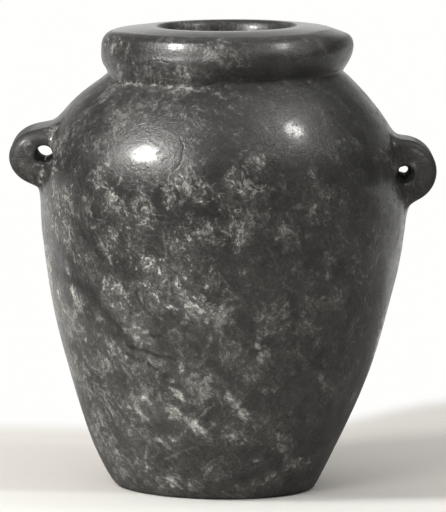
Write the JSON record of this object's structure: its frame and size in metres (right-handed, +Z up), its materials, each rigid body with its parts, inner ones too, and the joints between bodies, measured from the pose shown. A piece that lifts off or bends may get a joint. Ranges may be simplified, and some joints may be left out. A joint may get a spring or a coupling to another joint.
{
  "type": "stone jar",
  "caption": "Broad-shouldered stone jar with a heavy collar rim, a small flat foot and pierced tubular lug handles high on the shoulder.",
  "frame": {"origin": "centre of the jar's box at the level of the surface it stands on, which is the centre of its flat foot", "axes": "+Z up along the jar's axis, the lugs stand out along +X and -X with their bores along Y, and -Y is the side that the picture faces"},
  "size_m": [0.1654, 0.1434, 0.1811],
  "materials": {
    "body_stone": "polished mottled dark stone",
    "collar_stone": "polished mottled dark stone",
    "lug_stone": "ground dark stone, less polished than the body"
  },
  "bodies": {
    "root": {"jar_body": "body_stone", "rim_collar": "collar_stone", "left_lug": "lug_stone", "right_lug": "lug_stone"}
  },
  "joints": []
}
